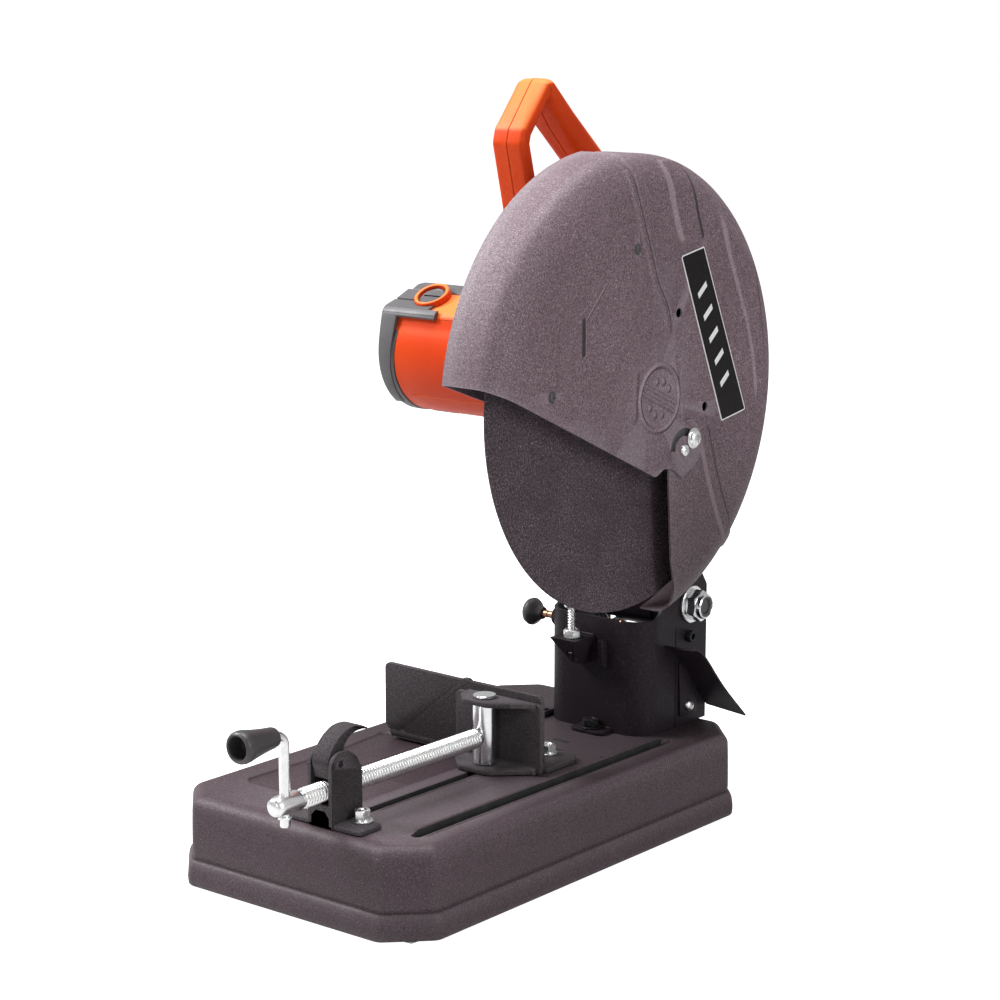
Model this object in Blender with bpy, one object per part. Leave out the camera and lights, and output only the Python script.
"""Abrasive cut-off saw (chop saw) with a 355 mm wheel.

Frame: metres, +Z up.  Origin on the ground under the middle of the bounding box.
+X is the operator's right (wheel side), +Y is the rear (column side).
All dimensions below are millimetres from the middle of the base; they are shifted
and scaled once, when a mesh is made.
"""
import bpy
import bmesh
import math
from mathutils import Matrix, Vector

for old_object in list(bpy.data.objects):
    bpy.data.objects.remove(old_object, do_unlink=True)

# ------------------------------------------------------------------ driving dimensions (mm)
SCALE = 0.001                           # millimetres to metres
SHIFT_X, SHIFT_Y = 8.0, 17.05           # from the middle of the base to the middle of the saw

BASE_W, BASE_L, BASE_H = 266.0, 452.0, 72.0      # footprint over the lip, height of the deck
SHEET = 2.5                                      # base sheet thickness
BOLT_HOLE_R = 4.4                                # clearance holes for the 7.6 mm bolts
FOOT_X, FOOT_Y = BASE_W / 2 - 17, 171.0          # distances of the feet from the middle

# Axes along X are given as (y, z), along Y as (x, z), along Z as (x, y).
SPINDLE = (79.0, 375.0)                          # wheel axis at rest
MOTOR = (SPINDLE[0] + 40.18, SPINDLE[1] + 12.23)
PIVOT = (198.0, 177.0)                           # head pivot
LOCK_PIN = (PIVOT[0] - 43.4, PIVOT[1] - 26)
LOCK_BUTTON = (43.0, SPINDLE[1])                 # spindle lock, along Y
WHEEL_R, WHEEL_T, WHEEL_X = 177.5, 3.0, 98.5
MOTOR_R = 54.0
CASE_LEFT, CASE_RIGHT = 12.0, 56.0               # X range of the gear case
CASE_R = 57.0                                    # gear case radius around the motor axis

COVER_PIVOT = (128.0, 325.0)                     # pivot of the swing-open side cover
CLAMP_R, CLAMP_ANGLE, COVER_SWING = 15.0, 34.0, 130.0   # clamp screw about that pivot, degrees

COLUMN_LEFT, COLUMN_RIGHT, COLUMN_FRONT, COLUMN_REAR = -11.0, 82.0, 130.0, 222.0
COLUMN_TOP = 171.0                               # top of the column's front wall
COLUMN_FOOT = BASE_H + 0.3                       # underside of the column
COLUMN_BOLTS = [(33.0, 122.0), (-20.0, 140.0)]
LIMIT_SCREW, DEFLECTOR_SCREW, DEFLECTOR_RIVET = (195.0, 149.5), (194.0, 88.5), (188.0, 98.0)
DEPTH_STOP = (20.0, COLUMN_FRONT - 18)

SCREW = (31.0, 100.0)                            # vise screw
SCREW_X, SCREW_R = SCREW[0], 8.0
JAW_PIN = (SCREW_X, -17.0)                       # jaw swivel pin
BRACKET_BOLTS = {"right": (SCREW_X + 23, -190.0), "left": (SCREW_X - 23, -190.0)}
LEVER_PIN = (-202.0, 122.0)

FENCE_PIVOT = (54.0, 36.0)
FENCE_SLOT_R, FENCE_ANGLE, FENCE_SWING = 30.0, 160.0, 45.0   # clamp bolt about the pivot
FENCE_CLAMP = (FENCE_PIVOT[0] + FENCE_SLOT_R * math.cos(math.radians(FENCE_ANGLE)),
               FENCE_PIVOT[1] + FENCE_SLOT_R * math.sin(math.radians(FENCE_ANGLE)))

# ------------------------------------------------------------------ materials
# name: (base colour, roughness, metallic)
FINISHES = {
    "powder": ((0.060, 0.050, 0.058), 0.62, 0.0),
    "guard": ((0.130, 0.110, 0.125), 0.60, 0.0),
    "black": ((0.020, 0.019, 0.022), 0.45, 0.0),
    "orange": ((0.830, 0.120, 0.020), 0.38, 0.0),
    "plastic": ((0.055, 0.055, 0.058), 0.50, 0.0),
    "zinc": ((0.780, 0.780, 0.770), 0.28, 1.0),
    "steel": ((0.520, 0.520, 0.530), 0.32, 1.0),
    "copper": ((0.450, 0.200, 0.110), 0.40, 1.0),
    "alu": ((0.560, 0.560, 0.570), 0.45, 1.0),
    "abrasive": ((0.060, 0.055, 0.062), 0.92, 0.0),
    "rubber": ((0.018, 0.018, 0.018), 0.80, 0.0),
    "lamination": ((0.230, 0.230, 0.240), 0.50, 1.0),
}


def material(name, finish):
    colour, roughness, metallic = FINISHES[finish]
    result = bpy.data.materials.new(name)
    result.use_nodes = True
    shader = result.node_tree.nodes["Principled BSDF"]
    shader.inputs["Base Color"].default_value = (*colour, 1.0)
    shader.inputs["Roughness"].default_value = roughness
    shader.inputs["Metallic"].default_value = metallic
    return result


# ------------------------------------------------------------------ mesh helpers
def to_metres(x, y, z):
    return ((x + SHIFT_X) * SCALE, (y + SHIFT_Y) * SCALE, z * SCALE)


def make(name, points, faces, mat="powder", smooth=None):
    """One object from millimetre points, faces turned outwards.  smooth is an angle in degrees."""
    mesh = bpy.data.meshes.new(name)
    mesh.from_pydata([to_metres(*p) for p in points], [], faces)
    bm = bmesh.new()
    bm.from_mesh(mesh)
    bmesh.ops.recalc_face_normals(bm, faces=bm.faces)
    bm.to_mesh(mesh)
    bm.free()
    ob = bpy.data.objects.new(name, mesh)
    bpy.context.scene.collection.objects.link(ob)
    mesh.materials.append(material(name + "_mat", mat))
    if smooth:
        mesh.shade_smooth()
        mesh.set_sharp_from_angle(angle=math.radians(smooth))
    return ob


def put(axis, a, b, height):
    """Maps section coordinates (a, b) at a height along an axis to x, y, z."""
    if axis == "X":
        return (height, a, b)
    if axis == "Y":
        return (a, height, b)
    return (a, b, height)


def band(i, j, n):
    """Quads between point rows i and j of n points each."""
    return [[i * n + k, i * n + (k + 1) % n, j * n + (k + 1) % n, j * n + k] for k in range(n)]


def row(i, n):
    return list(range(i * n, (i + 1) * n))


def prism(name, outline, axis, low, high, mat="powder", smooth=None):
    """Extrusion of a closed outline between low and high along an axis."""
    n = len(outline)
    points = [put(axis, a, b, height) for height in (low, high) for a, b in outline]
    return make(name, points, [row(0, n)[::-1], row(1, n)] + band(0, 1, n), mat, smooth)


def box(name, x0, x1, y0, y1, z0, z1, mat="powder"):
    return prism(name, [(x0, y0), (x1, y0), (x1, y1), (x0, y1)], "Z", z0, z1, mat)


def turn(name, profile, axis, centre, mat="powder", seg=17, smooth=35):
    """Revolves a profile of (radius, height).  One that starts and ends at radius 0 is capped;
    any other is a closed loop around the axis."""
    solid = profile[0][0] == 0
    stations = [(radius, height) for radius, height in profile if radius > 0]
    points = []
    for radius, height in stations:
        for k in range(seg):
            angle = 2 * math.pi * k / seg
            points.append(put(axis, centre[0] + radius * math.cos(angle),
                              centre[1] + radius * math.sin(angle), height))
    last = len(stations) - 1
    faces = [row(0, seg)] if solid else []
    for i in range(last):
        faces += band(i, i + 1, seg)
    faces += [row(last, seg)] if solid else band(last, 0, seg)
    return make(name, points, faces, mat, smooth)


def rod(name, axis, centre, low, high, radius, mat="powder", seg=14):
    return turn(name, [(0, low), (radius, low), (radius, high), (0, high)], axis, centre, mat, seg)


def ring(name, axis, centre, low, high, inner, outer, mat, seg=17):
    return turn(name, [(inner, low), (outer, low), (outer, high), (inner, high)],
                axis, centre, mat, seg)


def loft(name, rings, mat="powder", smooth=None, closed=False):
    """Skin over rings of equal length; the ends are capped unless the rings close on themselves."""
    n, last = len(rings[0]), len(rings) - 1
    faces = []
    for i in range(last):
        faces += band(i, i + 1, n)
    faces += band(last, 0, n) if closed else [row(0, n)[::-1], row(last, n)]
    return make(name, [p for points in rings for p in points], faces, mat, smooth)


def sweep(name, path, radius, seg, mat="powder"):
    """Carries a circle along a path, its frame started from +X; the ends are capped."""
    rings = []
    up = Vector((1, 0, 0))
    for i, centre in enumerate(path):
        ahead, behind = path[min(i + 1, len(path) - 1)], path[max(i - 1, 0)]
        along = (Vector(ahead) - Vector(behind)).normalized()
        side = along.cross(up)
        side.normalize()
        up = side.cross(along).normalized()
        angles = [2 * math.pi * k / seg for k in range(seg)]
        rings.append([tuple(Vector(centre) + side * (radius * math.cos(a))
                            + up * (radius * math.sin(a))) for a in angles])
    return loft(name, rings, mat, 50)


# Short-lived pieces that are only cut from, fused to or intersected with others
def peg(axis, centre, low, high, radius, seg=14):
    return rod("tool", axis, centre, low, high, radius, seg=seg)


def slab(outline, axis, low, high):
    return prism("tool", outline, axis, low, high)


def block(*limits):
    return box("tool", *limits)


def combine(ob, tools, operation):
    """Applies one boolean per tool and removes the tools; the object keeps its one material."""
    for tool in tools:
        modifier = ob.modifiers.new("boolean", "BOOLEAN")
        modifier.operation = operation
        modifier.solver = "EXACT"
        modifier.object = tool
        graph = bpy.context.evaluated_depsgraph_get()
        graph.update()
        mesh = bpy.data.meshes.new_from_object(ob.evaluated_get(graph))
        ob.modifiers.clear()
        old_mesh = ob.data
        ob.data = mesh
        mesh.name = ob.name
        bpy.data.meshes.remove(old_mesh)
        bpy.data.objects.remove(tool, do_unlink=True)
        while len(mesh.materials) > 1:
            mesh.materials.pop()
        for polygon in mesh.polygons:
            polygon.material_index = 0


def cut(ob, *tools):
    combine(ob, tools, "DIFFERENCE")


def fuse(ob, *tools):
    combine(ob, tools, "UNION")


# Outlines
def arc(centre, radius, start, end, steps):
    """Points on an arc; angles in degrees."""
    angles = [math.radians(start + (end - start) * i / steps) for i in range(steps + 1)]
    return [(centre[0] + radius * math.cos(a), centre[1] + radius * math.sin(a)) for a in angles]


def arc_slot(centre, radius, half_width, start, end, steps):
    return (arc(centre, radius + half_width, start, end, steps)
            + arc(centre, radius - half_width, end, start, steps))


def hexagon(centre, across_flats, phase):
    radius = across_flats / math.sqrt(3)
    return [(centre[0] + radius * math.cos(phase + math.pi / 3 * k),
             centre[1] + radius * math.sin(phase + math.pi / 3 * k)) for k in range(6)]


def hex_bolt(name, centre, seat, across_flats, head, mat, washer_r=0.0):
    """Upright hex-head bolt, 7.6 mm; seat is the face under the head or under its fixed washer."""
    washer_t = 1.6 if washer_r else 0.0
    overlap = 0.2 if washer_r else 0.0
    ob = prism(name, hexagon(centre, across_flats, 0.3), "Z",
               seat + (washer_t - overlap), seat + (washer_t + head), mat)
    fuse(ob, peg("Z", centre, seat - 14, seat + 0.8, 3.8, 12))
    if washer_r:
        fuse(ob, peg("Z", centre, seat, seat + washer_t, washer_r, 12))


# ------------------------------------------------------------------ base pan
BASE_CHAMFER = 33.0                              # corner cut of the footprint
CORNER_TRIM = 4.0                                # each corner becomes two points this far along
LIP_H, LIP_IN = 18.0, 4.0                        # height and depth of the proud bottom lip
DECK_R = 9.0                                     # rounding between wall and deck
FLANGE_IN, FLANGE_Z0, FLANGE_Z1 = 27, 3.5, 6.0   # bottom flange turned inwards


def base_ring(inset, z):
    half_w, half_l = BASE_W / 2 - inset, BASE_L / 2 - inset
    chamfer = BASE_CHAMFER - 0.586 * inset
    corners = [(half_w, -half_l + chamfer), (half_w, half_l - chamfer),
               (half_w - chamfer, half_l), (-half_w + chamfer, half_l),
               (-half_w, half_l - chamfer), (-half_w, -half_l + chamfer),
               (-half_w + chamfer, -half_l), (half_w - chamfer, -half_l)]
    points = []
    for i, corner in enumerate(corners):
        corner = Vector(corner)
        for neighbour in (Vector(corners[i - 1]), Vector(corners[(i + 1) % 8])):
            x, y = corner + (neighbour - corner).normalized() * CORNER_TRIM
            points.append((x, y, z))
    return points


def base_pan():
    """The skin runs up the outside to the deck, and back down the inside to the lip."""
    outside = [base_ring(SHEET, 1.0), base_ring(0, 1.0), base_ring(0, LIP_H),
               base_ring(LIP_IN, LIP_H + 4)]
    for i in range(4):
        angle = math.radians(30 * i)
        outside.append(base_ring(LIP_IN + DECK_R * (1 - math.cos(angle)),
                                 BASE_H - DECK_R + DECK_R * math.sin(angle)))
    inside = [base_ring(LIP_IN + 10, BASE_H - SHEET), base_ring(LIP_IN + SHEET, BASE_H - 10),
              base_ring(LIP_IN + SHEET, FLANGE_Z1), base_ring(FLANGE_IN, FLANGE_Z1),
              base_ring(FLANGE_IN, FLANGE_Z0), base_ring(SHEET, FLANGE_Z0)]
    rings = outside + inside
    n, deck, last = len(rings[0]), len(outside) - 1, len(rings) - 1
    faces = []
    for i in range(deck):
        faces += band(i, i + 1, n)
    faces += [row(deck, n), row(deck + 1, n)[::-1]]
    for i in range(deck + 1, last):
        faces += band(i, i + 1, n)
    faces += band(last, 0, n)
    return make("base_pan", [p for points in rings for p in points], faces, "powder", 40)


def deck_slot(x, front, rear, width=9.0):
    """Cutter for a slot along Y with round ends."""
    half = width / 2
    outline = arc((x, rear - half), half, 0, 180, 4) + arc((x, front + half), half, 180, 360, 4)
    return slab(outline, "Z", 60, 80)


FEET = {"foot_front_left": (-FOOT_X, -FOOT_Y), "foot_front_right": (FOOT_X, -FOOT_Y),
        "foot_rear_left": (-FOOT_X, FOOT_Y), "foot_rear_right": (FOOT_X, FOOT_Y)}

base = base_pan()
cut(base, deck_slot(SCREW_X, -163.0, 8.0),       # jaw guide slot
    deck_slot(99.5, -184.0, 146.0))              # wheel clearance slot
for hole in [*BRACKET_BOLTS.values(), FENCE_PIVOT, FENCE_CLAMP, *COLUMN_BOLTS]:
    cut(base, peg("Z", hole, 60, 80, BOLT_HOLE_R, 10))
for foot in FEET.values():
    cut(base, peg("Z", foot, 1, 8, 4.5, 8))      # stem hole in the flange

FOOT_PROFILE = [(0, 0), (9.0, 0), (10.5, 1.2), (10.5, 3.2), (4.0, 3.2), (4.0, 6.4),
                (6.0, 6.6), (3.0, 11.0), (0, 11.0)]
for foot_name, foot in FEET.items():
    turn(foot_name, FOOT_PROFILE, "Z", foot, "rubber", 10)

# ------------------------------------------------------------------ column
# Bent sheet channel, open to the rear
COLUMN_SHEET, COLUMN_BEND = 3.0, 22.0            # thickness, outside bend radius


def column_path(offset):
    radius = COLUMN_BEND - offset
    left, right, front = COLUMN_LEFT + offset, COLUMN_RIGHT - offset, COLUMN_FRONT + offset
    return ([(left, COLUMN_REAR)] + arc((left + radius, front + radius), radius, 180, 270, 5)
            + arc((right - radius, front + radius), radius, 270, 360, 5)
            + [(right, COLUMN_REAR)])


column = prism("column", column_path(0) + column_path(COLUMN_SHEET)[::-1], "Z",
               COLUMN_FOOT, 206, "black", 40)
# side cheeks rise around the pivot, the front drops to COLUMN_TOP
cut(column, slab([(120, COLUMN_TOP), (150, COLUMN_TOP), (176, 214), (120, 214)], "X", -30, 100),
    slab([(220, 214), (240, 214), (240, 178), (224, 186), (216, 198), (208, 207.5)],
         "X", -30, 100))
# floor of the channel, front tab, left tab and two lugs on the front
fuse(column, block(COLUMN_LEFT + 2, COLUMN_RIGHT - 2, COLUMN_FRONT + 16, COLUMN_REAR - 1,
                   COLUMN_FOOT, COLUMN_FOOT + 4),
     block(16, 50, COLUMN_FRONT - 16, COLUMN_FRONT + 1, COLUMN_FOOT, COLUMN_FOOT + 3),
     block(COLUMN_LEFT - 18, COLUMN_LEFT + 1, 128, 156, COLUMN_FOOT, COLUMN_FOOT + 3),
     slab([(COLUMN_FRONT + 1, 128), (COLUMN_FRONT + 1, 148),
           (COLUMN_FRONT - 30, 148), (COLUMN_FRONT - 30, 142)], "X", 6, 34),
     slab([(COLUMN_FRONT + 1, 126), (COLUMN_FRONT + 1, 148),
           (COLUMN_FRONT - 7, 148), (COLUMN_FRONT - 5, 126)], "X", 36, 46))
cut(column, peg("X", PIVOT, -30, 100, 8.4),
    peg("X", LOCK_PIN, -30, 20, 5.5, 12),
    peg("Z", DEPTH_STOP, 120, 160, 4.4, 12),
    peg("X", LIMIT_SCREW, 60, 100, 3.3, 10),
    peg("X", DEFLECTOR_SCREW, 60, 100, 2.8, 10),
    peg("X", DEFLECTOR_RIVET, 60, 100, 2.2, 8),
    *[peg("Z", hole, 60, 80, BOLT_HOLE_R, 10) for hole in COLUMN_BOLTS])

hex_bolt("column_bolt_front", COLUMN_BOLTS[0], BASE_H + 3.6, 13, 5.0, "black")

# pivot: through bolt from the left, washer and lock nut on the right
PIVOT_HEX = 24                                   # across flats
pivot_bolt = prism("pivot_bolt", hexagon(PIVOT, PIVOT_HEX, 0.2), "X",
                   COLUMN_LEFT - 10.3, COLUMN_LEFT - 0.3, "zinc")
fuse(pivot_bolt, peg("X", PIVOT, COLUMN_LEFT - 1, COLUMN_RIGHT + 19, 8.0, 17))
ring("pivot_washer", "X", PIVOT, COLUMN_RIGHT + 0.3, COLUMN_RIGHT + 3.0, 8.3, 16.0, "zinc")
pivot_nut = prism("pivot_nut", hexagon(PIVOT, PIVOT_HEX, 0.45), "X",
                  COLUMN_RIGHT + 3.3, COLUMN_RIGHT + 13.0, "zinc")
fuse(pivot_nut, peg("X", PIVOT, COLUMN_RIGHT + 12, COLUMN_RIGHT + 17.0, 10.6, 17))
cut(pivot_nut, peg("X", PIVOT, COLUMN_RIGHT, COLUMN_RIGHT + 20, 8.3, 17))

# socket-head limit screw and the deflector screw on the right cheek
turn("limit_screw",
     [(0, 64), (3.0, 64), (3.0, COLUMN_RIGHT + 0.3), (5.2, COLUMN_RIGHT + 0.3),
      (5.2, COLUMN_RIGHT + 5.0), (4.8, COLUMN_RIGHT + 5.4), (2.4, COLUMN_RIGHT + 5.4),
      (2.4, COLUMN_RIGHT + 2.6), (0, COLUMN_RIGHT + 2.6)], "X", LIMIT_SCREW, "black", 12)
turn("deflector_screw",
     [(0, 66), (2.5, 66), (2.5, COLUMN_RIGHT + 2.3), (5.0, COLUMN_RIGHT + 2.3),
      (4.6, COLUMN_RIGHT + 4.4), (2.6, COLUMN_RIGHT + 5.4), (0, COLUMN_RIGHT + 5.6)],
     "X", DEFLECTOR_SCREW, "zinc", 12)

# ------------------------------------------------------------------ spark deflector
# Edge curves (y, z) of the sheet that falls to the rear: left edge on the cheek, right edge free
DEFLECTOR_LEFT = [(160.0, 148.0), (172.0, 141.0), (183.0, 131.5), (202.0, 109.0), (224.0, 84.0)]
DEFLECTOR_RIGHT = [(154.0, 151.0), (160.0, 149.5), (174.0, 139.0), (202.0, 109.0), (236.0, 76.5)]
# Outline (y, z) of the leaf that lies on the cheek
DEFLECTOR_LEAF = [(178, 134), (181.5, 132), (201.0, 109.0), (206, 100), (206, 80), (182, 80)]
DEFLECTOR_T = 1.6


def curve_normal(curve, i):
    before, after = Vector(curve[max(i - 1, 0)]), Vector(curve[min(i + 1, len(curve) - 1)])
    along = (after - before).normalized()
    return Vector((-along.y, along.x))


def spark_deflector():
    """Ruled sheet between the two edge curves, with its mounting leaf."""
    x_left, x_right = COLUMN_RIGHT + 0.4, COLUMN_RIGHT + 34
    rings = []
    for i, (left, right) in enumerate(zip(DEFLECTOR_LEFT, DEFLECTOR_RIGHT)):
        step_left = curve_normal(DEFLECTOR_LEFT, i) * DEFLECTOR_T
        step_right = curve_normal(DEFLECTOR_RIGHT, i) * DEFLECTOR_T
        rings.append([(x_left, *left), (x_right, *right),
                      (x_right, right[0] - step_right.x, right[1] - step_right.y),
                      (x_left, left[0] - step_left.x, left[1] - step_left.y)])
    ob = loft("spark_deflector", rings, "black")
    fuse(ob, slab(DEFLECTOR_LEAF, "X", COLUMN_RIGHT + 0.3, COLUMN_RIGHT + 2.0))
    cut(ob, peg("X", DEFLECTOR_SCREW, 60, 110, 2.8, 10), peg("X", DEFLECTOR_RIVET, 60, 110, 2.2, 8))


spark_deflector()

# ------------------------------------------------------------------ depth stop
# Threaded bolt standing in the lug, locked by a hex nut
stop_nut = prism("depth_stop_nut", hexagon(DEPTH_STOP, 13, 0.25), "Z", 148.3, 154.3, "zinc")
cut(stop_nut, peg("Z", DEPTH_STOP, 140, 160, 4.4, 12))
turn("depth_stop_bolt",
     [(0, 118), (3.4, 118), (4.0, 119), (4.0, 179.5), (3.4, 180.5), (5.6, 181.0), (6.5, 182.0),
      (6.5, 185.0), (5.6, 186), (0, 186)], "Z", DEPTH_STOP, "zinc", 12)

# ------------------------------------------------------------------ transport lock pin
# Threaded bush, pin and knob on the left cheek
bush = prism("lock_pin_bush", hexagon(LOCK_PIN, 15, 0.2), "X",
             COLUMN_LEFT - 13.3, COLUMN_LEFT - 0.3, "black")
fuse(bush, peg("X", LOCK_PIN, COLUMN_LEFT - 1, COLUMN_LEFT + COLUMN_SHEET + 5, 5.2, 12))
cut(bush, peg("X", LOCK_PIN, COLUMN_LEFT - 30, COLUMN_LEFT + 30, 3.5, 12))
# (radius, distance along +X from the column's left face)
PIN_PROFILE = [(0, -36.0), (3.2, -36.0), (3.2, 8.5), (2.4, 9.5), (0, 9.5)]
KNOB_PROFILE = [(0, -45), (8.0, -44), (12.5, -40), (13.0, -37), (10.5, -33), (6.5, -29),
                (6.2, -23.5), (3.5, -23.5), (3.5, -36.3), (0, -36.3)]
turn("lock_pin_shaft", [(r, COLUMN_LEFT + x) for r, x in PIN_PROFILE], "X", LOCK_PIN, "copper", 12)
turn("lock_pin_knob", [(r, COLUMN_LEFT + x) for r, x in KNOB_PROFILE], "X", LOCK_PIN, "plastic", 13)

# ------------------------------------------------------------------ head: arm with gear case
ARM_OUTLINE = (arc(SPINDLE, 47, 150, 268, 6)
               + [(118, 322), (142, 268), (152, 236), (166, 214), (176, 192)]
               + arc(PIVOT, 24, 205, 385, 8) + [(206, 232), (190, 300), (180, 352)]
               + arc(MOTOR, CASE_R, -20, 110, 7))
arm = prism("arm_gear_case", ARM_OUTLINE, "X", CASE_LEFT, CASE_RIGHT, "black", 40)
# pivot hub between the cheeks
HUB_GAP = COLUMN_SHEET + 0.8
fuse(arm, peg("X", PIVOT, COLUMN_LEFT + HUB_GAP, COLUMN_RIGHT - HUB_GAP, 22.0, 17))
# stop boss that lands on the depth stop bolt
fuse(arm, slab([(148.3, 234.3), (135.9, 245.5), (139, 252), (150, 258), (162, 240)], "X", 12, 30))
cut(arm,
    # gear cavity, open to the right under the gear cover
    slab(arc(SPINDLE, 38, 120, 290, 8) + arc(MOTOR, 38, -30, 100, 7), "X", 30.0, 70),
    peg("X", PIVOT, -40, 120, 8.5, 17),
    peg("X", MOTOR, 0, 40, 16.3),
    peg("X", SPINDLE, 20.0, 40, 13.3),
    peg("Y", LOCK_BUTTON, 20, 60, 4.5, 12),
    # shallow recess in the left face above the pivot hub
    block(-20, CASE_LEFT + 0.1, 150, 240, 228, 300))

# cover plate on the right of the gear case, with a collar around the spindle
gear_cover = prism("gear_cover", arc(SPINDLE, 44, 120, 290, 8) + arc(MOTOR, 46, -30, 100, 7), "X",
                   CASE_RIGHT + 0.3, 64.0, "alu")
fuse(gear_cover, peg("X", SPINDLE, 63, 68.0, 27, 17))
cut(gear_cover, peg("X", SPINDLE, 50, 80, 16.3, 17), peg("X", MOTOR, 50, 60.5, 9.0, 12))

# torsion return spring around the pivot hub
SPRING_R, SPRING_WIRE_R, SPRING_PITCH, SPRING_X = 27.5, 1.7, 4.6, -4.5
SPRING_TURNS, SPRING_STEPS = 3, 12               # steps per turn
coil = []
for i in range(SPRING_TURNS * SPRING_STEPS + 1):
    angle = 2 * math.pi * i / SPRING_STEPS + 0.3
    coil.append((SPRING_X + SPRING_PITCH * i / SPRING_STEPS,
                 PIVOT[0] + SPRING_R * math.cos(angle), PIVOT[1] + SPRING_R * math.sin(angle)))
sweep("return_spring", coil, SPRING_WIRE_R, 5, "steel")

# ------------------------------------------------------------------ gears
GEAR_MODULE, GEAR_TEETH, PINION_TEETH = 1.75, 35, 13
PRESSURE_ANGLE = math.radians(20)
ADDENDUM, DEDENDUM, TOOTH_FILL = 0.8, 1.05, 0.86   # in modules; share of the nominal thickness


def involute_gear(name, teeth, x0, x1, centre, phase):
    """Spur gear whose flanks run straight between the involute's root and tip points."""
    def involute(angle):
        return math.tan(angle) - angle

    pitch_r = GEAR_MODULE * teeth / 2
    base_r = pitch_r * math.cos(PRESSURE_ANGLE)
    flank = []                                   # (radius, half angle of the tooth)
    for radius in (pitch_r - DEDENDUM * GEAR_MODULE, pitch_r + ADDENDUM * GEAR_MODULE):
        pressure = math.acos(min(1.0, base_r / radius))
        flank.append((radius, math.pi / (2 * teeth) * TOOTH_FILL + involute(PRESSURE_ANGLE)
                      - involute(pressure)))
    outline = []
    for k in range(teeth):
        middle = 2 * math.pi * k / teeth + phase
        polar = [(r, middle - half) for r, half in flank]
        polar += [(r, middle + half) for r, half in flank[::-1]]
        outline += [(centre[0] + r * math.cos(a), centre[1] + r * math.sin(a)) for r, a in polar]
    return prism(name, outline, "X", x0, x1, "steel", 25)


mesh_angle = math.atan2(MOTOR[1] - SPINDLE[1], MOTOR[0] - SPINDLE[0])

# ------------------------------------------------------------------ spindle group
gear = involute_gear("spindle_gear", GEAR_TEETH, 37.0, 50.0, SPINDLE, mesh_angle)
cut(gear, peg("X", SPINDLE, 30, 60, 9.2))
turn("spindle",
     [(0, 21.5), (6.0, 21.5), (6.0, 32.5), (8.9, 32.5), (8.9, 54.5), (8.0, 54.5), (8.0, 66.5),
      (12.5, 67.2), (12.5, 91.5), (9.5, 91.5), (9.5, 103.0), (4.2, 103.0), (4.2, 84), (0, 84)],
     "X", SPINDLE, "steel", 14)
ring("spindle_bearing_left", "X", SPINDLE, 21.0, 32.0, 6.3, 13.0, "steel", 14)
ring("spindle_bearing_right", "X", SPINDLE, 55.0, 66.2, 8.3, 16.0, "steel", 14)
turn("inner_flange",
     [(12.8, 88.0), (18.0, 88.0), (20.0, 90.5), (42.5, 93.0), (42.5, 96.7), (37.0, 96.7),
      (36.0, 95.8), (12.8, 95.8)], "X", SPINDLE, "steel", 20)
ring("abrasive_wheel", "X", SPINDLE, WHEEL_X - WHEEL_T / 2, WHEEL_X + WHEEL_T / 2,
     12.7, WHEEL_R, "abrasive", 48)
turn("outer_flange",
     [(9.9, 100.3), (36.0, 101.2), (37.0, 100.3), (42.5, 100.3), (42.5, 103.8), (20.0, 106.5),
      (9.9, 106.5)], "X", SPINDLE, "steel", 20)
spindle_bolt = prism("spindle_bolt", hexagon(SPINDLE, 17, 0.1), "X", 109.0, 115.5, "zinc")
fuse(spindle_bolt, peg("X", SPINDLE, 106.8, 109.3, 12.0), peg("X", SPINDLE, 84.5, 107.5, 3.9, 12))

# ------------------------------------------------------------------ armature group
armature = involute_gear("armature_shaft", PINION_TEETH, 36.0, 51.0, MOTOR,
                         mesh_angle + math.pi + math.pi / PINION_TEETH)
SHAFT_PROFILE = [(0, -141), (4.0, -141), (4.0, -131), (5.5, -131), (5.5, 21.0), (7.5, 21.0),
                 (7.5, 30.5), (6.0, 30.5), (6.0, 36.5), (0, 36.5)]
fuse(armature, turn("tool", SHAFT_PROFILE, "X", MOTOR, seg=12),
     peg("X", MOTOR, -114.0, -93.0, 15.0))       # commutator
ring("armature_core", "X", MOTOR, -86.0, -32.0, 5.8, 28.5, "lamination")

FAN_BLADES, BLADE_HALF_T, BLADE_SWEEP = 7, 1.2, 0.35   # sweep in radians
BLADE_R0, BLADE_R1 = 16, 41
fan = ring("cooling_fan", "X", MOTOR, -14.0, -11.5, 5.8, 42.0, "plastic", 20)
for k in range(FAN_BLADES):
    angle = 2 * math.pi * k / FAN_BLADES
    cos_in, sin_in = math.cos(angle), math.sin(angle)
    cos_out, sin_out = math.cos(angle + BLADE_SWEEP), math.sin(angle + BLADE_SWEEP)
    corners = [(BLADE_R0, cos_in, sin_in, -1), (BLADE_R0, cos_in, sin_in, 1),
               (BLADE_R1, cos_out, sin_out, 1), (BLADE_R1, cos_out, sin_out, -1)]
    fuse(fan, slab([(MOTOR[0] + r * c + side * BLADE_HALF_T * sin_in,
                     MOTOR[1] + r * s - side * BLADE_HALF_T * cos_in)
                    for r, c, s, side in corners], "X", -12.0, -4.0))

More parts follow.
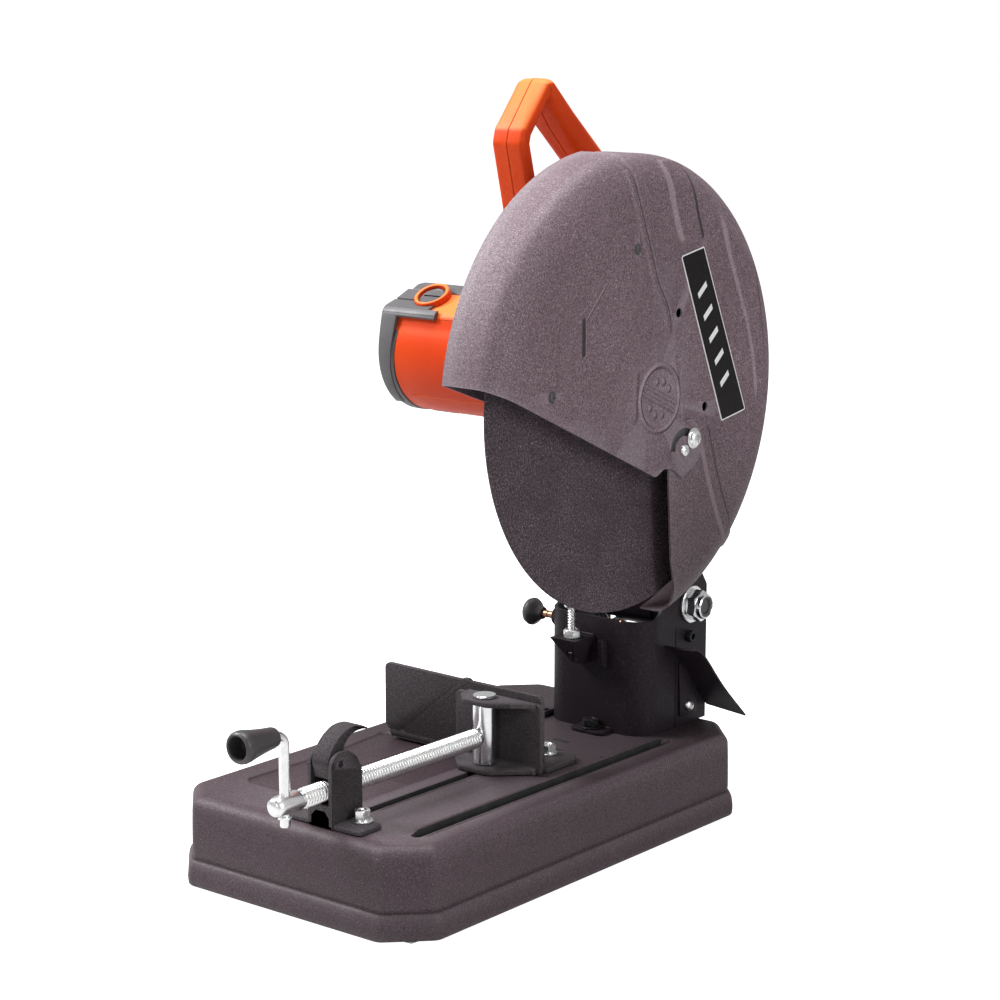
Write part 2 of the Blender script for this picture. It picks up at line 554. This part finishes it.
# ------------------------------------------------------------------ motor housing
HOUSING_LEFT, HOUSING_RIGHT, HOUSING_BORE = -118.0, CASE_LEFT - 0.3, 50.5
HOUSING_FLANGE_R = MOTOR_R + 2.0
housing = turn("motor_housing",
               [(HOUSING_BORE, HOUSING_LEFT), (MOTOR_R, HOUSING_LEFT), (MOTOR_R, -10),
                (HOUSING_FLANGE_R, 0), (HOUSING_FLANGE_R, HOUSING_RIGHT),
                (HOUSING_BORE, HOUSING_RIGHT)], "X", MOTOR, "orange", 23)
turn("motor_end_cap",
     [(0, -150), (36, -149.0), (48.0, -145.5), (52.6, -138.0), (53.4, -118.3), (50.6, -118.3),
      (50.0, -137), (46.0, -142.5), (34, -145.5), (11.5, -145.8), (11.5, -128), (8.5, -128),
      (8.5, -142.5), (0, -142.5)], "X", MOTOR, "plastic", 23)
ring("stator", "X", MOTOR, -88.0, -30.0, 30.5, 49.6, "lamination", 20)

BRUSH_X = -103.5


def brush_cap(name, degrees):
    """Brush cap standing radially in a bored boss of the housing."""
    angle = math.radians(degrees)
    outward = Vector((0, math.cos(angle), math.sin(angle)))
    right = Vector((1, 0, 0))
    across = outward.cross(right)
    middle = Vector((BRUSH_X, *MOTOR))

    def discs(profile, seg=14):
        """Rings for a profile of (radius, distance from the motor axis)."""
        angles = [2 * math.pi * k / seg for k in range(seg)]
        return [[tuple(middle + outward * distance + right * (radius * math.cos(a))
                       + across * (radius * math.sin(a))) for a in angles]
                for radius, distance in profile]

    fuse(housing, loft("tool", discs([(13.0, 49.0), (13.0, 55.6), (11.8, 56.8)])))
    cut(housing, loft("tool", discs([(9.6, 40), (9.6, 70)])))
    cap = [(7.0, 22), (7.0, 50.2), (9.2, 50.2), (9.2, 54.6), (8.4, 55.4)]
    loft(name, discs(cap), "plastic", 40)


brush_cap("brush_cap_front", 122.0)
brush_cap("brush_cap_rear", 302.0)

# ------------------------------------------------------------------ D handle
# Two shells that meet at the split plane X = HANDLE_X
HANDLE_X, HANDLE_HALF_W = 10.0, 16.0
HANDLE_HALF_T, HANDLE_WALL, HANDLE_ROUND = 13.5, 3.0, 7.0   # of the limb, seen from the side
# centre line of the loop (y, z), up the front limb and down the rear one
HANDLE_LOOP = [(64.0, 462.0), (49.0, 527.9), (41.5, 566.0), (48.5, 590.0), (71.0, 606.5),
               (89.0, 609.5), (110.0, 590.0), (135.5, 563.4), (164.0, 531.0), (182.0, 498.0),
               (180.0, 470.0), (160.0, 455.0), (120.0, 450.0), (84.0, 450.0)]


def offset_loop(points, distance):
    """Moves a closed loop sideways; positive is outwards for HANDLE_LOOP."""
    result = []
    for i, point in enumerate(points):
        before, here, after = Vector(points[i - 1]), Vector(point), \
            Vector(points[(i + 1) % len(points)])
        along_in, along_out = (here - before).normalized(), (after - here).normalized()
        normal_in = Vector((-along_in.y, along_in.x))
        normal_out = Vector((-along_out.y, along_out.x))
        mitre = (normal_in + normal_out).normalized()
        result.append(tuple(here + mitre * (distance / max(0.5, mitre.dot(normal_in)))))
    return result


def handle_shell(name, side):
    """Hollow half of the handle, open at the split plane; side is -1 for left, 1 for right."""
    split = HANDLE_X + side * 0.15
    face = HANDLE_X + side * HANDLE_HALF_W
    shoulder = HANDLE_X + side * (HANDLE_HALF_W - 6.0)
    floor = HANDLE_X + side * (HANDLE_HALF_W - 4.5)
    edge, rounded = HANDLE_HALF_T, HANDLE_HALF_T - HANDLE_ROUND
    hollow = HANDLE_HALF_T - HANDLE_WALL
    # (x, offset from the centre line) around the limb's section, then around its channel
    stations = [(split, edge), (shoulder, edge), (face, rounded),
                (face, -rounded), (shoulder, -edge), (split, -edge),
                (split, -hollow), (floor, -hollow), (floor, hollow), (split, hollow)]
    rings = [[(x, y, z) for y, z in offset_loop(HANDLE_LOOP, offset)] for x, offset in stations]
    ob = loft(name, rings, "orange", 40, closed=True)
    ob.data.materials[0].name = name + "_mat.001"   # these two materials have a numbered name
    return ob


left_shell = handle_shell("handle_shell_left", -1)
right_shell = handle_shell("handle_shell_right", 1)
# the loop's lower bar is trimmed to the motor and the gear case it stands on
for shell in (left_shell, right_shell):
    cut(shell, peg("X", MOTOR, -60, CASE_LEFT + 0.2, HOUSING_FLANGE_R + 0.4, 29),
        peg("X", MOTOR, CASE_LEFT - 0.4, 90, CASE_R + 0.4, 29))

# trigger and its window on the inner side of the rear limb
LIMB_CENTRE = Vector((HANDLE_X, 149.0, 548.5))
LIMB_OUT = Vector((0.0, 0.745, 0.667))           # from the inside of the loop to the outside
LIMB_UP = Vector((0.0, -0.667, 0.745))           # along the limb


def limb_block(name, half_width, low, high, inner, outer, mat="powder"):
    """Block square to the rear limb: low and high along it, inner and outer across it."""
    corners = ((low, inner), (high, inner), (high, outer), (low, outer))
    points = [tuple(LIMB_CENTRE + Vector((x, 0, 0)) + LIMB_UP * up + LIMB_OUT * out)
              for x in (-half_width, half_width) for up, out in corners]
    return make(name, points, [[0, 1, 2, 3], [7, 6, 5, 4], [0, 4, 5, 1], [1, 5, 6, 2],
                               [2, 6, 7, 3], [3, 7, 4, 0]], mat)


for shell in (left_shell, right_shell):
    cut(shell, limb_block("tool", 6.5, -17, 17, -24, -6))
trigger = limb_block("trigger", 6.0, -16, 16, -22.0, -4.6, "plastic")
cut(trigger, limb_block("tool", 9.0, -9, 10, -30, -19.5))

# lock-on button through the left shell, down the limb from the trigger's middle
button_point = LIMB_CENTRE - LIMB_UP * 22
button = (button_point.y, button_point.z)
cut(left_shell, peg("X", button, -12, 12, 4.8, 12))
turn("lock_on_button", [(0, -10.5), (3.6, -10.5), (4.4, -9.6), (4.4, 1.0), (0, 1.0)],
     "X", button, "plastic", 12)

# cord boot and cord at the rear of the handle
CORD_PATH = [(HANDLE_X, y, z) for y, z in
             [(191.0, 478.0), (203.0, 473.0), (216.0, 463.0), (224.0, 448.0), (227.0, 430.0),
              (228.0, 400.0), (230.0, 372.0)]]
BOOT_R, CORD_R = 7.0, 3.9
cord = sweep("power_cord", CORD_PATH[:4], BOOT_R, 12, "rubber")
for shell in (left_shell, right_shell):
    cut(shell, sweep("tool", [(HANDLE_X, 170.0, 486.0)] + CORD_PATH[:2], BOOT_R + 0.4, 12))
fuse(cord, sweep("tool", CORD_PATH[2:], CORD_R, 10))

# spindle lock plunger in the front of the gear case
turn("spindle_lock_button",
     [(0, 21.5), (5.6, 21.5), (6.4, 22.4), (6.4, 26.5), (4.1, 26.5), (4.1, 41.0), (3.0, 42.0),
      (0, 42.0)], "Y", LOCK_BUTTON, "plastic", 12)

# ------------------------------------------------------------------ wheel guard (fixed)
# (radius, x): inner skin from the right face over the rim to the left face, then the outer skin
GUARD_PROFILE = [(0, 118.5), (166.8, 118.5), (178.2, 115.5), (186.6, 110.7), (190.4, 104.6),
                 (190.4, 68.8), (30, 68.8), (30, 67.3), (191.9, 67.3), (191.9, 105.1),
                 (187.9, 111.5), (179.3, 116.7), (167.3, 120.0), (0, 120.0)]
# (y, z) front edge of the rim and right face, top to bottom
GUARD_EDGE = [(47, 640), (52, 566), (58, 541), (84, 466), (99, 440), (112, 400), (109, 330),
              (110, 305), (115, 235), (123, 199), (116, 150)]
# (y, z) region cut off the front and bottom of the left face
GUARD_LEFT_CUT = [(-300, 471), (-118, 404), (-20, 368), (34, 334), (34, 320), (85, 285),
                  (105, 235), (112, 176), (112, 100), (-300, 100)]
guard = turn("wheel_guard", GUARD_PROFILE, "X", SPINDLE, "guard", 40, 30)
cut(guard, slab([(-300, 640)] + GUARD_EDGE + [(-300, 150)], "X", 69.3, 140),
    slab(GUARD_LEFT_CUT, "X", 60, 69.6),
    peg("X", PIVOT, 60, 84.3, 88.0, 29))

# ------------------------------------------------------------------ swing-open side cover
# (radius, x): inner skin, then outer skin
COVER_PROFILE = [(0, 120.5), (167.6, 120.5), (179.9, 117.2), (188.8, 112.5), (193.4, 105.4),
                 (193.4, 69.8), (194.9, 69.8), (194.9, 105.9), (190.1, 113.3), (181.0, 118.4),
                 (168.2, 122.0), (0, 122.0)]
# (y, z) region that remains, with a lobe around the cover pivot
COVER_REGION = ([(-320, 498.6), (88.6, 308.4), (101, 313.2), (126, 301.5)]
                + arc((COVER_PIVOT[0] + 4.5, COVER_PIVOT[1] + 3.5), 21, -75, 100, 6)
                + [(112, 430), (107.6, 442.7), (92.1, 468.2), (62.7, 541.6), (56, 566),
                   (50, 640), (-320, 640)])
cover = turn("side_cover", COVER_PROFILE, "X", SPINDLE, "guard", 40, 30)
combine(cover, [slab(COVER_REGION, "X", 60, 130)], "INTERSECT")
cut(cover, peg("X", COVER_PIVOT, 110, 130, 2.9, 12))
# arc slot of the clamp screw; the screw stands at the slot's rear end when closed
SLOT_END = 13.0                                  # degrees beyond the screw's travel
clamp_screw = (COVER_PIVOT[0] + CLAMP_R * math.cos(math.radians(CLAMP_ANGLE)),
               COVER_PIVOT[1] + CLAMP_R * math.sin(math.radians(CLAMP_ANGLE)))
cut(cover, slab(arc_slot(COVER_PIVOT, CLAMP_R, 3.4, CLAMP_ANGLE - SLOT_END,
                         CLAMP_ANGLE + COVER_SWING + SLOT_END, 9), "X", 110, 130))
cut(guard, peg("X", COVER_PIVOT, 110, 130, 3.0, 12), peg("X", clamp_screw, 110, 130, 3.3, 12))
turn("cover_pivot_screw",
     [(0, 112), (2.4, 112), (2.4, 122.3), (4.9, 122.3), (4.7, 123.6), (3.7, 125.0), (0, 125.6)],
     "X", COVER_PIVOT, "zinc", 12)
turn("cover_clamp_screw",
     [(0, 110), (2.7, 110), (2.7, 122.3), (8.6, 122.3), (8.6, 123.5), (6.8, 123.8), (6.0, 126.0),
      (3.5, 127.2), (0, 127.4)], "X", clamp_screw, "zinc", 13)

# ------------------------------------------------------------------ fence
# (x, y) outline of the foot plate behind the upright
FENCE_FOOT = [(-88, 3.0), (80, 3.0), (80, 40), (74, 49), (60, 53), (20, 58), (12, 50), (8, 24),
              (-36, 24), (-46, 34), (-68, 36), (-82, 28)]
fence = box("fence", -93.0, 75.0, 1.0, 6.0, BASE_H + 7.0, 137.0)
fuse(fence, slab(FENCE_FOOT, "Z", BASE_H + 0.5, BASE_H + 4.5),
     block(-90, 74, 3.0, 5.6, BASE_H + 2.0, BASE_H + 9.0))
# the fence turns clockwise from above, so the slot runs counterclockwise from the clamp bolt
FENCE_SLOT_END = 9.0                             # degrees beyond the bolt's travel
cut(fence, slab(arc_slot(FENCE_PIVOT, FENCE_SLOT_R, 4.4, FENCE_ANGLE - FENCE_SLOT_END,
                         FENCE_ANGLE + FENCE_SWING + FENCE_SLOT_END, 8), "Z", 60, 78.9),
    peg("Z", FENCE_PIVOT, 60, 78.9, 4.3, 12))
hex_bolt("fence_pivot_bolt", FENCE_PIVOT, BASE_H + 4.8, 13, 5.3, "zinc", 8.5)
hex_bolt("fence_clamp_bolt", FENCE_CLAMP, BASE_H + 4.8, 13, 5.3, "zinc", 8.5)

# ------------------------------------------------------------------ vise bracket
BRACKET_FRONT, BRACKET_REAR, FLANGE_REAR = -212.5, -178.0, -184.0
BRACKET_Z = BASE_H + 0.6                         # underside
BRACKET_LEFT, BRACKET_RIGHT, EAR_T = SCREW_X - 12.5, SCREW_X + 12.5, 3.5
EAR = ([(BRACKET_FRONT, BRACKET_Z), (BRACKET_FRONT, 120)] + arc((-201.0, 120.0), 11.5, 180, 90, 4)
       + [(-193, 131), (-182, 124), (BRACKET_REAR, 114), (BRACKET_REAR, BRACKET_Z)])
# (x, z) arched bridge that joins the ears at the front
BRIDGE = [(BRACKET_LEFT + 0.5, 76), (BRACKET_LEFT + 3.5, 83), (BRACKET_LEFT + 8, 86),
          (BRACKET_RIGHT - 8, 86), (BRACKET_RIGHT - 3.5, 83), (BRACKET_RIGHT - 0.5, 76),
          (BRACKET_RIGHT - 0.5, 90.5), (BRACKET_LEFT + 0.5, 90.5)]
bracket = prism("vise_bracket", EAR, "X", BRACKET_RIGHT - EAR_T, BRACKET_RIGHT)
fuse(bracket, slab(EAR, "X", BRACKET_LEFT, BRACKET_LEFT + EAR_T),
     slab(BRIDGE, "Y", BRACKET_FRONT, BRACKET_FRONT + 3.5),
     block(BRACKET_RIGHT - 1, BRACKET_RIGHT + 26.5, BRACKET_FRONT + 1.5, FLANGE_REAR,
           BRACKET_Z, BASE_H + 4.2),
     block(BRACKET_LEFT - 26.5, BRACKET_LEFT + 1, BRACKET_FRONT + 1.5, FLANGE_REAR,
           BRACKET_Z, BASE_H + 4.2))
cut(bracket, peg("X", LEVER_PIN, 0, 60, 2.7, 12))
for side, centre in BRACKET_BOLTS.items():
    cut(bracket, peg("Z", centre, 60, 90, 4.3, 12))
    hex_bolt("bracket_bolt_" + side, centre, BASE_H + 4.5, 11, 7.0, "zinc", 8.0)

# ------------------------------------------------------------------ half nut lever
PIN_LEFT, PIN_RIGHT = BRACKET_LEFT - 0.6, BRACKET_RIGHT + 0.6
turn("lever_pin", [(0, PIN_LEFT), (2.0, PIN_LEFT), (2.4, PIN_LEFT + 0.4),
                   (2.4, PIN_RIGHT - 0.4), (2.0, PIN_RIGHT), (0, PIN_RIGHT)],
     "X", LEVER_PIN, "steel", 12)
# (y, z): half nut block under the pin, curved thumb tongue above it
LEVER_OUTLINE = ([(-209.0, 110.6), (-209.5, 119)] + arc(LEVER_PIN, 7.6, 200, 120, 4)
                 + [(-203.5, 136.0), (-196.0, 143.5), (-186.0, 147.0), (-175.0, 146.0),
                    (-167.5, 142.5), (-176.0, 142.0), (-186.0, 139.5), (-192.0, 134.0),
                    (-194.0, 127.0), (-191.5, 118.0), (-191.0, 110.6)])
lever = prism("half_nut_lever", LEVER_OUTLINE, "X", BRACKET_LEFT + EAR_T + 0.6,
              BRACKET_RIGHT - EAR_T - 0.6, "powder", 40)
cut(lever, peg("X", LEVER_PIN, 0, 60, 2.7, 12),
    peg("Y", SCREW, -230, -150, SCREW_R + 0.5, 17))

# ------------------------------------------------------------------ vise screw, crank and grip
CRANK_Y, GRIP_Z = -250.0, 154.5
vise_screw = turn("vise_screw",
                  [(0, -264.0), (5.0, -263.5), (7.4, -260.5), (8.2, -256.0), (8.2, -236.0),
                   (7.0, -234.0), (SCREW_R, -232.0), (SCREW_R, -30.0), (5.5, -28.2),
                   (5.5, -18.0), (0, -18.0)], "Y", SCREW, "zinc", 14)
cut(vise_screw, peg("Z", (SCREW_X, CRANK_Y), 80, 120, 4.4, 12))
# (y relative to CRANK_Y, z): up through the screw's head, then bent forwards
CRANK_PATH = [(0, 83.0), (0, 145.0), (-0.8, 149.5), (-3.5, 153.2), (-8.0, GRIP_Z), (-50.0, GRIP_Z)]
sweep("crank_rod", [(SCREW_X, CRANK_Y + y, z) for y, z in CRANK_PATH], 4.1, 12, "zinc")
turn("crank_grip",
     [(4.5, -259.5), (7.6, -259.5), (8.6, -262.0), (12.6, -290.0), (13.4, -299.0),
      (12.6, -303.5), (10.5, -305.0), (9.0, -303.5), (9.0, -296.0), (4.5, -296.0)],
     "Y", (SCREW_X, GRIP_Z), "plastic", 14)

# ------------------------------------------------------------------ jaw on its swivel barrel
barrel = rod("swivel_barrel", "Z", JAW_PIN, BASE_H + 5.3, 127.5, 10.0, "zinc", 17)
fuse(barrel, peg("Z", JAW_PIN, 127.0, 133.3, 7.0), peg("Z", JAW_PIN, 132.6, 134.6, 9.4, 16),
     peg("Z", JAW_PIN, 60.0, BASE_H + 6, 3.9, 12), peg("Z", JAW_PIN, 60.0, 66.0, 8.0, 12))
cut(barrel, peg("Y", SCREW, -40, -16, 5.8))

JAW_FRONT, JAW_REAR = -7.0, -2.8
# (x, y) ears that hold the barrel, above and below
TOP_EAR = [(6, JAW_FRONT + 0.5), (8, -20), (20, -31.5), (44, -31.5), (76, JAW_FRONT + 0.5)]
BOTTOM_EAR = [(-6, JAW_FRONT + 0.5), (2, -20), (18, -35), (46, -35), (78, JAW_FRONT + 0.5)]
jaw = box("jaw", -8.0, 81.0, JAW_FRONT, JAW_REAR, BASE_H + 1.2, 130.0)
fuse(jaw, slab(TOP_EAR, "Z", 128.2, 132.2), slab(BOTTOM_EAR, "Z", BASE_H + 0.8, BASE_H + 4.8))
cut(jaw, peg("Z", JAW_PIN, 128, 140, 7.4), peg("Z", JAW_PIN, 60, 90, 4.3, 12),
    peg("Z", JAW_PIN, BASE_H + 4.9, 128.1, 10.6, 17))

# ------------------------------------------------------------------ origins on the joint axes
ORIGINS = [
    ((WHEEL_X, *SPINDLE), ("abrasive_wheel", "inner_flange", "outer_flange", "spindle",
                           "spindle_bolt", "spindle_gear")),
    ((0, *MOTOR), ("armature_shaft", "armature_core", "cooling_fan")),
    ((0, *PIVOT), ("arm_gear_case", "gear_cover", "motor_housing", "motor_end_cap",
                   "wheel_guard", "handle_shell_left", "handle_shell_right")),
    ((122.0, *COVER_PIVOT), ("side_cover",)),
    ((*JAW_PIN, SCREW[1]), ("jaw", "vise_screw", "crank_rod")),
    ((*FENCE_PIVOT, BASE_H), ("fence",)),
    ((SCREW_X, *LEVER_PIN), ("half_nut_lever",)),
    ((SCREW_X, CRANK_Y, GRIP_Z), ("crank_grip",)),
]
for point, names in ORIGINS:
    origin = Vector(to_metres(*point))
    for name in names:
        ob = bpy.data.objects[name]
        ob.data.transform(Matrix.Translation(-origin))
        ob.location = origin
